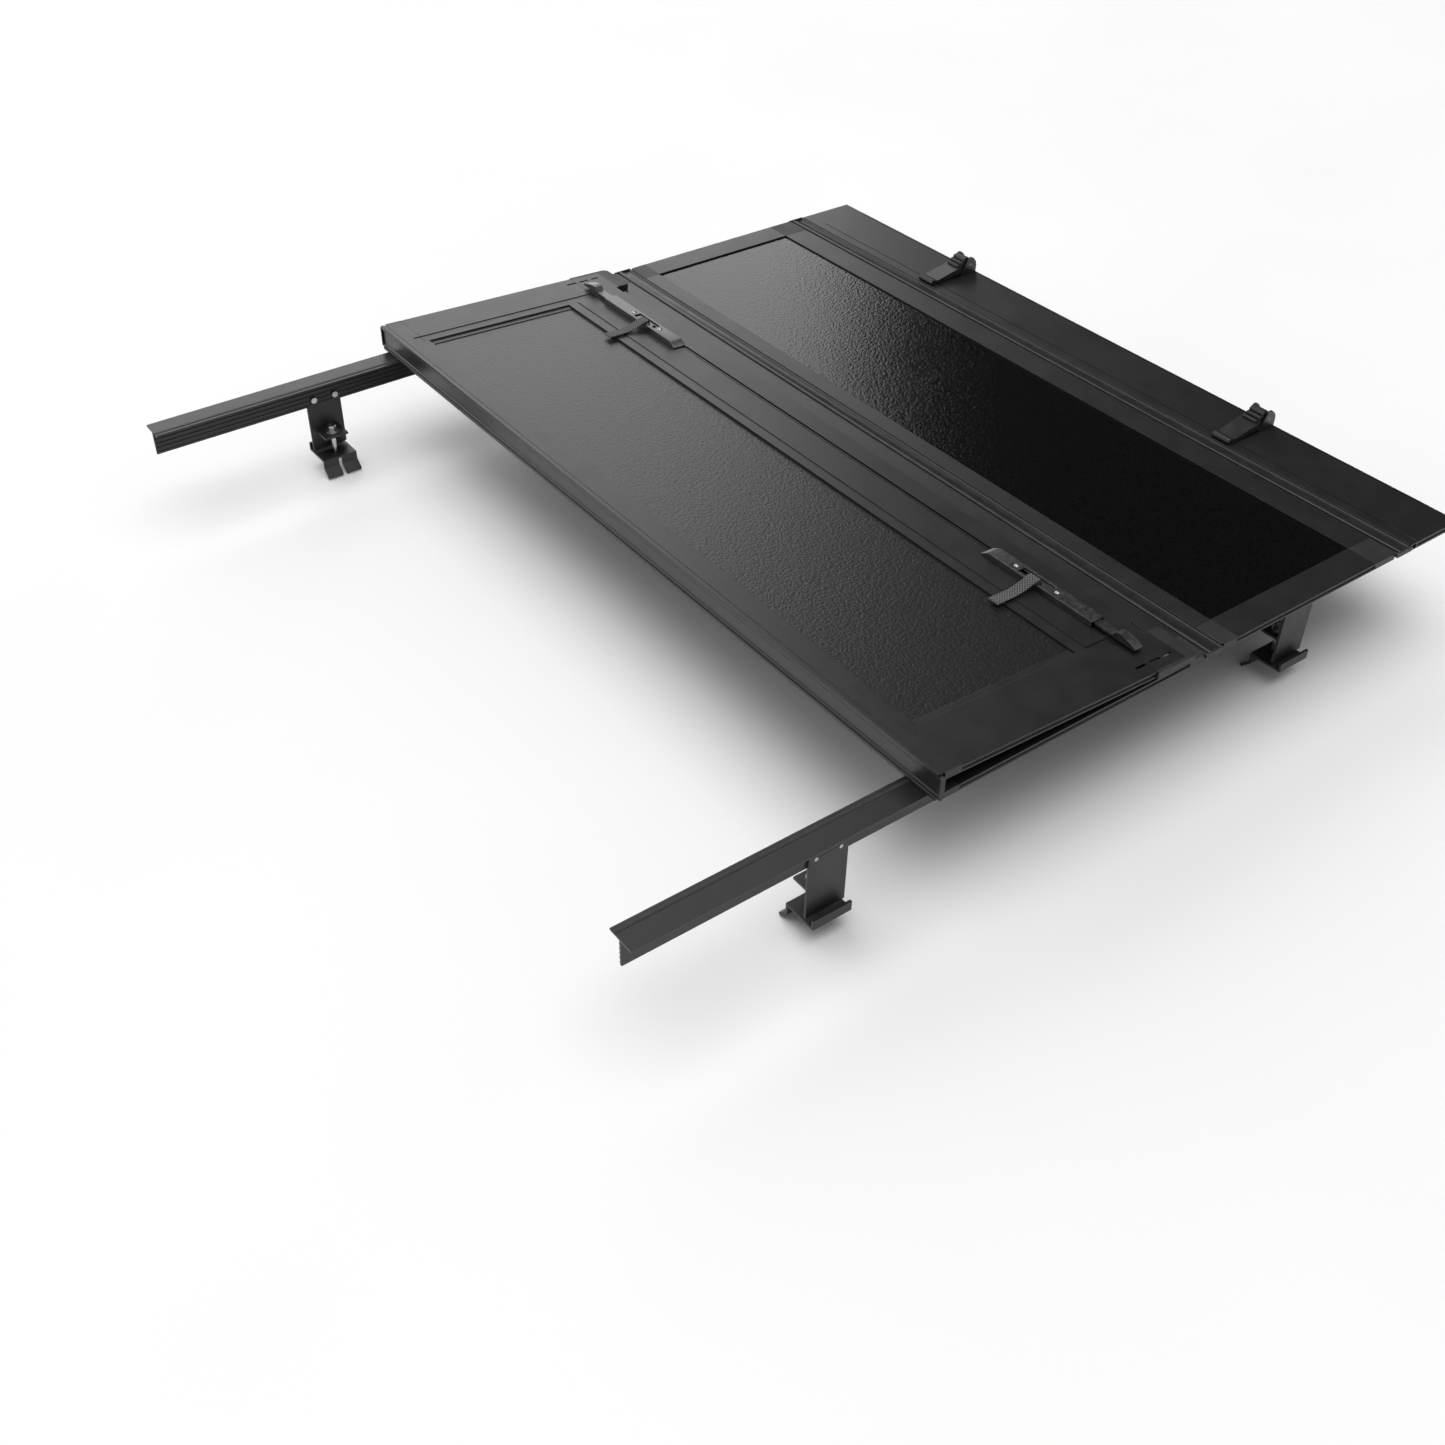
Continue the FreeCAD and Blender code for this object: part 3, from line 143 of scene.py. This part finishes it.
def add_studio():
    """Pale floor in a plain studio: soft light overhead, a bright wall back left, dark beside it."""
    bpy.context.scene.view_settings.view_transform = "Standard"
    world = bpy.data.worlds.new("studio")
    bpy.context.scene.world = world
    world.use_nodes = True
    tree = world.node_tree

    def value(operation, *inputs):
        """One arithmetic step on numbers or sockets."""
        made = tree.nodes.new("ShaderNodeMath")
        made.operation = operation
        for socket, given in zip(made.inputs, inputs):
            if isinstance(given, (int, float)):
                socket.default_value = given
            else:
                tree.links.new(given, socket)
        return made.outputs[0]

    def step(given, start, end):
        """0 before the start, 1 after the end, and smooth between them."""
        made = tree.nodes.new("ShaderNodeMapRange")
        made.interpolation_type = "SMOOTHSTEP"
        made.inputs["From Min"].default_value = start
        made.inputs["From Max"].default_value = end
        tree.links.new(given, made.inputs["Value"])
        return made.outputs["Result"]

    direction = tree.nodes.new("ShaderNodeSeparateXYZ")
    tree.links.new(tree.nodes.new("ShaderNodeTexCoord").outputs["Generated"], direction.inputs[0])
    x, y, height = direction.outputs
    bearing = value("ARCTAN2", value("MULTIPLY", x, -1.0), y)
    wall = value("MULTIPLY", step(bearing, *WALL_EDGE), step(bearing, *reversed(WALL_END)))
    wall = value("MULTIPLY", wall, step(height, *reversed(WALL_TOP)))
    room = value("ADD", step(bearing, *reversed(DARK_START)), step(bearing, *WALL_END))
    overhead = step(height, *OVERHEAD_EDGE)
    light = value("ADD", value("MULTIPLY", wall, WALL_LIGHT), DARK_LIGHT)
    light = value("ADD", light, value("MULTIPLY", room, ROOM_LIGHT))
    light = value("ADD", light, value("MULTIPLY", overhead, OVERHEAD_LIGHT))
    background = tree.nodes["Background"]
    background.inputs["Color"].default_value = (1, 1, 1, 1)
    tree.links.new(light, background.inputs["Strength"])

    mesh = bpy.data.meshes.new("floor")
    half = FLOOR_HALF_WIDTH
    z = cad_low.z - FLOOR_GAP
    mesh.from_pydata([(-half, -half, z), (half, -half, z), (half, half, z), (-half, half, z)],
                     [], [(0, 1, 2, 3)])
    floor = link_object("floor", mesh)
    floor.data.materials.append(floor_material())


# ---- materials ----------------------------------------------------------------------------
class Shader:
    """A material's node tree with short helpers for the nodes used here."""

    def __init__(self, name):
        self.material = bpy.data.materials.new(name)
        self.material.use_nodes = True
        self.tree = self.material.node_tree
        self.bsdf = self.tree.nodes["Principled BSDF"]
        self.place = self.node("ShaderNodeTexCoord").outputs["Object"]

    def node(self, kind, **settings):
        """A new node with the given settings."""
        made = self.tree.nodes.new(kind)
        for key, value in settings.items():
            setattr(made, key, value)
        return made

    def link(self, output, target):
        self.tree.links.new(output, target)

    def set(self, **values):
        """Numbers for the shader's own sockets, with _ for the spaces in their names."""
        for key, value in values.items():
            self.bsdf.inputs[key.replace("_", " ")].default_value = value

    def noise(self, size, detail=3.0, roughness=0.5, place=None):
        """Noise whose features are about the given size in metres."""
        made = self.node("ShaderNodeTexNoise")
        made.inputs["Scale"].default_value = 1.0 / size
        made.inputs["Detail"].default_value = detail
        made.inputs["Roughness"].default_value = roughness
        self.link(place or self.place, made.inputs["Vector"])
        return made.outputs["Fac"]

    def cells(self, size, place):
        """Distance from the middle of soft-edged cells of about the given size."""
        made = self.node("ShaderNodeTexVoronoi", feature="SMOOTH_F1")
        made.inputs["Scale"].default_value = 1.0 / size
        made.inputs["Smoothness"].default_value = 0.6
        self.link(place, made.inputs["Vector"])
        return made.outputs["Distance"]

    def math(self, operation, *values):
        """One arithmetic step on numbers or sockets."""
        made = self.node("ShaderNodeMath", operation=operation)
        for socket, value in zip(made.inputs, values):
            if isinstance(value, (int, float)):
                socket.default_value = value
            else:
                self.link(value, socket)
        return made.outputs[0]

    def ramp(self, value, low, high, colour_low, colour_high):
        """Colour that runs from one shade to another between two values."""
        made = self.node("ShaderNodeValToRGB")
        made.color_ramp.elements[0].position = low
        made.color_ramp.elements[1].position = high
        made.color_ramp.elements[0].color = (*colour_low, 1)
        made.color_ramp.elements[1].color = (*colour_high, 1)
        self.link(value, made.inputs["Fac"])
        return made.outputs["Color"]

    def spread(self, value, from_low, from_high, to_low, to_high):
        """The value carried over from one range of numbers to another."""
        made = self.node("ShaderNodeMapRange")
        for name, number in (("From Min", from_low), ("From Max", from_high),
                             ("To Min", to_low), ("To Max", to_high)):
            made.inputs[name].default_value = number
        self.link(value, made.inputs["Value"])
        return made.outputs["Result"]

    def bump(self, height, distance, strength=1.0, normal=None):
        """A normal that follows a height, on top of an earlier normal where one is given."""
        made = self.node("ShaderNodeBump")
        made.inputs["Distance"].default_value = distance
        made.inputs["Strength"].default_value = strength
        self.link(height, made.inputs["Height"])
        if normal is not None:
            self.link(normal, made.inputs["Normal"])
        return made.outputs["Normal"]


def grey(level):
    """A neutral shade."""
    return (level, level, level)


def floor_material():
    """Pale, matt studio floor with a faint wash."""
    shader = Shader("pale_floor")
    wash = shader.noise(0.9, 2.0)
    shader.link(shader.ramp(wash, 0.3, 0.7, grey(0.88), grey(0.91)), shader.bsdf.inputs["Base Color"])
    shader.set(Roughness=0.7)
    return shader.material


def powder_coat(name, level, roughness):
    """Satin black powder coat: fine orange peel and faint mottling."""
    shader = Shader(name)
    mottle = shader.noise(45 * MM, 4.0)
    shader.link(shader.ramp(mottle, 0.3, 0.7, grey(level * 0.92), grey(level * 1.1)),
                shader.bsdf.inputs["Base Color"])
    shader.link(shader.spread(mottle, 0.3, 0.7, roughness - 0.02, roughness + 0.03),
                shader.bsdf.inputs["Roughness"])
    peel = shader.noise(POWDER_SIZE, 2.0)
    shader.link(shader.bump(peel, POWDER_HEIGHT, 0.6), shader.bsdf.inputs["Normal"])
    return shader.material


def pebble_skin(name, outer_side):
    """Fibreglass sheet: a low glossy pebble outside, a satin grain inside.

    outer_side is +1 where the sheet's outer face looks up at rest, and -1 where it looks down.
    """
    shader = Shader(name)
    facing = shader.node("ShaderNodeSeparateXYZ")
    shader.link(shader.node("ShaderNodeTexCoord").outputs["Normal"], facing.inputs[0])
    outer = shader.math("GREATER_THAN", shader.math("MULTIPLY", facing.outputs[2], outer_side), 0.0)

    warp = shader.noise(14 * MM, 2.0)
    bend = shader.node("ShaderNodeVectorMath", operation="MULTIPLY_ADD")
    shader.link(warp, bend.inputs[0])
    bend.inputs[1].default_value = (3.0 * MM, 3.0 * MM, 0)
    shader.link(shader.place, bend.inputs[2])
    place = bend.outputs["Vector"]
    domes = shader.spread(shader.cells(PEBBLE_SIZE, place), 0.05, 0.75, 1.0, 0.0)
    fine = shader.noise(0.5 * PEBBLE_SIZE, 2.0, 0.55, place=place)
    wrinkle = shader.noise(1.3 * PEBBLE_SIZE, 2.0, 0.5, place=place)
    grain = shader.math("ADD", shader.math("MULTIPLY", domes, 0.55),
                        shader.math("MULTIPLY", fine, 0.5))
    grain = shader.math("ADD", grain, shader.math("MULTIPLY", wrinkle, 0.9))
    depth = shader.spread(outer, 0.0, 1.0, 1.4, 1.1)      # the inner side's grain is deeper
    normal = shader.bump(shader.math("MULTIPLY", grain, depth), PEBBLE_HEIGHT, 1.0)
    swell = shader.noise(SWELL_SIZE, 1.0)
    normal = shader.bump(swell, SWELL_HEIGHT, 0.2, normal)
    shader.link(normal, shader.bsdf.inputs["Normal"])

    # each side keeps its own dark tone, darker outside than inside, and on both the colour is lighter
    # on the grain's high points and darker in its hollows: painted highlight and painted shade on the
    # pebble
    outer_tone_and_painted_relief_shade = shader.ramp(grain, 0.6, 1.4, grey(0.0015), grey(0.0035))
    inner_tone_and_painted_relief_shade = shader.ramp(grain, 0.6, 1.4, grey(0.009), grey(0.014))
    mix = shader.node("ShaderNodeMix", data_type="RGBA")
    shader.link(outer, mix.inputs["Factor"])
    shader.link(inner_tone_and_painted_relief_shade, mix.inputs[6])
    shader.link(outer_tone_and_painted_relief_shade, mix.inputs[7])
    shader.link(mix.outputs[2], shader.bsdf.inputs["Base Color"])
    roughness = shader.math("ADD", shader.spread(outer, 0.0, 1.0, 0.27, 0.09),
                            shader.math("MULTIPLY", fine, 0.05))
    shader.link(roughness, shader.bsdf.inputs["Roughness"])
    shader.set(Specular_IOR_Level=0.42)
    return shader.material


def moulded_plastic(name, level, roughness):
    """Black moulding with a fine spark-eroded texture."""
    shader = Shader(name)
    stipple = shader.noise(0.9 * MM, 3.0, 0.6)
    drift = shader.noise(25 * MM, 3.0)
    shader.link(shader.bump(stipple, 0.05 * MM, 0.7), shader.bsdf.inputs["Normal"])
    shader.link(shader.ramp(drift, 0.3, 0.7, grey(level * 0.85), grey(level * 1.15)),
                shader.bsdf.inputs["Base Color"])
    shader.link(shader.spread(drift, 0.3, 0.7, roughness - 0.04, roughness + 0.05),
                shader.bsdf.inputs["Roughness"])
    return shader.material


def rubber(name, level):
    """Seal rubber, dull with a faint bloom."""
    shader = Shader(name)
    bloom = shader.noise(12 * MM, 5.0, 0.6)
    shader.link(shader.ramp(bloom, 0.35, 0.75, grey(level), grey(level * 1.7)),
                shader.bsdf.inputs["Base Color"])
    shader.link(shader.bump(shader.noise(1.2 * MM), 0.04 * MM, 0.5), shader.bsdf.inputs["Normal"])
    shader.set(Roughness=0.62)
    return shader.material


def brushed_metal(name, colour, roughness, tarnish):
    """Plated or mill-finish metal with drawn streaks and a patchy surface."""
    shader = Shader(name)
    stretch = shader.node("ShaderNodeMapping")
    stretch.inputs["Scale"].default_value = (0.04, 1.0, 1.0)
    shader.link(shader.place, stretch.inputs["Vector"])
    streak = shader.noise(0.5 * MM, 2.0, place=stretch.outputs["Vector"])
    patch = shader.noise(7 * MM, 4.0, 0.6)
    dull = [part * (1 - tarnish) for part in colour]
    shader.link(shader.ramp(patch, 0.3, 0.72, dull, colour), shader.bsdf.inputs["Base Color"])
    shader.link(shader.spread(patch, 0.3, 0.7, roughness - 0.06, roughness + 0.08),
                shader.bsdf.inputs["Roughness"])
    shader.link(shader.bump(streak, 0.02 * MM, 0.5), shader.bsdf.inputs["Normal"])
    shader.set(Metallic=1.0)
    return shader.material


def webbing(name):
    """Woven webbing: dark yarn with random pale flecks, and a painted highlight where the warp comes
    to the top.
    """
    shader = Shader(name)
    uv = shader.node("ShaderNodeTexCoord").outputs["UV"]
    split = shader.node("ShaderNodeSeparateXYZ")
    shader.link(uv, split.inputs[0])
    wave = math.pi / WEAVE_PITCH
    warp = shader.math("SINE", shader.math("MULTIPLY", split.outputs[0], wave))
    weft = shader.math("SINE", shader.math("MULTIPLY", split.outputs[1], wave))
    painted_crown_highlight = shader.math("MULTIPLY", warp, weft)
    yarn = shader.math("SINE", shader.math("MULTIPLY", split.outputs[0], wave * YARNS_PER_PITCH))
    fleck = shader.noise(1.1 * MM, 4.0, 0.7, place=uv)
    # pale where the fleck noise is high, a real random fleck, and lighter where the weave's crowns
    # rise, the same crowns the strap's mesh raises: a painted highlight
    flecks_and_painted_highlight = shader.math("ADD", shader.math("MULTIPLY", painted_crown_highlight, 0.30), fleck)
    shader.link(shader.ramp(flecks_and_painted_highlight, 0.50, 0.92, grey(0.012), grey(0.27)),
                shader.bsdf.inputs["Base Color"])
    normal = shader.bump(yarn, 0.05 * MM, 0.6)
    shader.link(shader.bump(fleck, 0.12 * MM, 0.7, normal), shader.bsdf.inputs["Normal"])
    shader.set(Roughness=0.8, Sheen_Weight=0.25)
    return shader.material


MATERIALS = {
    "frame_black": powder_coat("satin_powder_coat", 0.010, 0.35),
    "panel_skin": pebble_skin("pebble_skin", 1.0),
    "hinge_strip": moulded_plastic("hinge_strip_black", 0.014, 0.32),
    "moulded_black": moulded_plastic("moulded_black", 0.012, 0.50),
    "seal_rubber": rubber("seal_rubber", 0.010),
    "key_aluminium": brushed_metal("mill_aluminium", grey(0.62), 0.34, 0.25),
    "latch_steel": brushed_metal("dark_zinc", (0.160, 0.163, 0.168), 0.34, 0.20),
    "bright_steel": brushed_metal("bright_zinc", (0.62, 0.61, 0.59), 0.27, 0.30),
    "clamp_black": powder_coat("clamp_black_coat", 0.018, 0.42),
    "strap_webbing": webbing("woven_webbing"),
}
HOOK_BLACK = moulded_plastic("hook_black", 0.012, 0.32)

# nodes whose finish isn't their slot's usual one
NODE_MATERIALS = {
    "rear_panel_skin": pebble_skin("folded_pebble_skin", -1.0),
    "left_stow_hook": HOOK_BLACK,
    "right_stow_hook": HOOK_BLACK,
    "hook_bases": HOOK_BLACK,
    "hook_pins": MATERIALS["latch_steel"],
    "latch_rivets": brushed_metal("rivet_zinc", grey(0.34), 0.26, 0.30),
}


def dress_cad_nodes():
    """Every CAD node takes its own or its slot's material, and small rounded edges."""
    for entry in frame["record"]["subparts"]:
        obj = nodes[entry["node"]]
        material = NODE_MATERIALS.get(entry["node"], MATERIALS[entry["material_slot"]])
        obj.data.materials.clear()
        obj.data.materials.append(material)
        if "spring" in entry["node"]:
            continue              # replaced below by a copy that rides with the rear panel
        weld = obj.modifiers.new("weld", "WELD")
        weld.merge_threshold = WELD_DISTANCE
        bevel = obj.modifiers.new("rounded_edges", "BEVEL")
        bevel.width = EDGE_RADIUS
        bevel.segments = 2
        bevel.limit_method = "ANGLE"
        bevel.angle_limit = EDGE_ANGLE
        bevel.use_clamp_overlap = True
        smooth = obj.modifiers.new("weighted_normals", "WEIGHTED_NORMAL")
        smooth.weight = 100


# ---- pull straps --------------------------------------------------------------------------
def strap_route():
    """The webbing's middle line in millimetres: under, round the wire, over and folded back."""
    wrap = []
    for degrees in range(-90, 91, 30):
        angle = math.radians(degrees)
        wrap.append((-WRAP_RADIUS * math.cos(angle), WRAP_RADIUS * math.sin(angle)))
    return STRAP_START + wrap + STRAP_LIE


def smooth_line(points, spacing):
    """Points at even spacing on a Catmull-Rom curve through the given ones."""
    padded = [points[0]] + points + [points[-1]]
    dense = []
    for before, start, end, after in zip(padded, padded[1:], padded[2:], padded[3:]):
        for k in range(ROUTE_STEPS):
            t = k / ROUTE_STEPS
            weights = (-t + 2 * t ** 2 - t ** 3, 2 - 5 * t ** 2 + 3 * t ** 3,
                       t + 4 * t ** 2 - 3 * t ** 3, t ** 3 - t ** 2)
            dense.append(sum((w * p / 2 for w, p in zip(weights, (before, start, end, after))),
                             Vector((0, 0))))
    dense.append(points[-1])
    line, left = [dense[0]], spacing
    for start, end in zip(dense, dense[1:]):
        run = (end - start).length
        while run > 0 and left <= run:
            line.append(start.lerp(end, left / run))
            left += spacing
        left -= run
    return line


def add_strap(side):
    """One woven pull strap with real yarn relief, its UVs in metres across and along."""
    cad_node = side + "_latch_strap"
    low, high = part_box(cad_node)
    centre = Vector(((low.x + high.x) / 2, high.y - EYE_RADIUS, high.z - EYE_RADIUS))
    away = Vector((0, -math.cos(PANEL_TILT), math.sin(PANEL_TILT)))
    up = Vector((0, math.sin(PANEL_TILT), math.cos(PANEL_TILT)))
    spacing = WEAVE_PITCH / ROWS_PER_PITCH
    line = smooth_line([Vector(p) * MM for p in strap_route()], spacing)

    columns = STRAP_COLUMNS
    half = STRAP_WIDTH / 2
    ring = [(half * (2 * k / columns - 1), 1) for k in range(columns + 1)]
    ring += [(x, -1) for x, _ in reversed(ring)]
    vertices, uvs = [], []
    for row, point in enumerate(line):
        before, after = line[max(row - 1, 0)], line[min(row + 1, len(line) - 1)]
        heading = (after - before).normalized()
        out = Vector((-heading.y, heading.x))
        for x, face in ring:
            warp, weft = x / WEAVE_PITCH, row / ROWS_PER_PITCH
            relief = math.sin(math.pi * warp) * math.sin(math.pi * weft)
            into_selvage = max(0.0, (abs(x) - half + SELVAGE_WIDTH) / SELVAGE_WIDTH)
            fullness = 1 - SELVAGE_THINNING * into_selvage ** 2
            height = face * fullness * (STRAP_THICKNESS / 2 + YARN_RELIEF * relief)
            place = point + out * height
            vertices.append(centre + Vector((x, 0, 0)) + away * place.x + up * place.y)
            uvs.append((x, row * spacing))
    size = len(ring)
    faces = []
    for row in range(len(line) - 1):
        for k in range(size):
            a, b = row * size + k, row * size + (k + 1) % size
            faces.append((a, b, b + size, a + size))
    last = (len(line) - 1) * size
    for k in range(columns):
        faces.append((k, size - 1 - k, size - 2 - k, k + 1))
        faces.append((last + k, last + k + 1, last + size - 2 - k, last + size - 1 - k))
    mesh = bpy.data.meshes.new(side + "_pull_strap")
    mesh.from_pydata(vertices, [], faces)
    layer = mesh.uv_layers.new(name="metres")
    for loop in mesh.loops:
        layer.data[loop.index].uv = uvs[loop.vertex_index]
    mesh.polygons.foreach_set("use_smooth", [True] * len(mesh.polygons))
    turned = bmesh.new()
    turned.from_mesh(mesh)
    bmesh.ops.recalc_face_normals(turned, faces=turned.faces)
    turned.to_mesh(mesh)
    turned.free()
    mesh.materials.append(MATERIALS["strap_webbing"])
    strap = link_object(side + "_pull_strap", mesh)
    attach(strap, side + "_latch")
    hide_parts(cad_node)


# ---- latch springs ------------------------------------------------------------------------
def add_spring(side):
    """The latch spring, a copy of the CAD spring that rides with the rear panel."""
    cad_node = side + "_latch_spring"
    spring = link_object(side + "_bolt_spring", nodes[cad_node].data.copy())
    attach(spring, "rear_panel")
    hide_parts(cad_node)
    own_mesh(spring)


add_camera()
add_studio()
dress_cad_nodes()
for side in ("left", "right"):
    add_strap(side)
    add_spring(side)
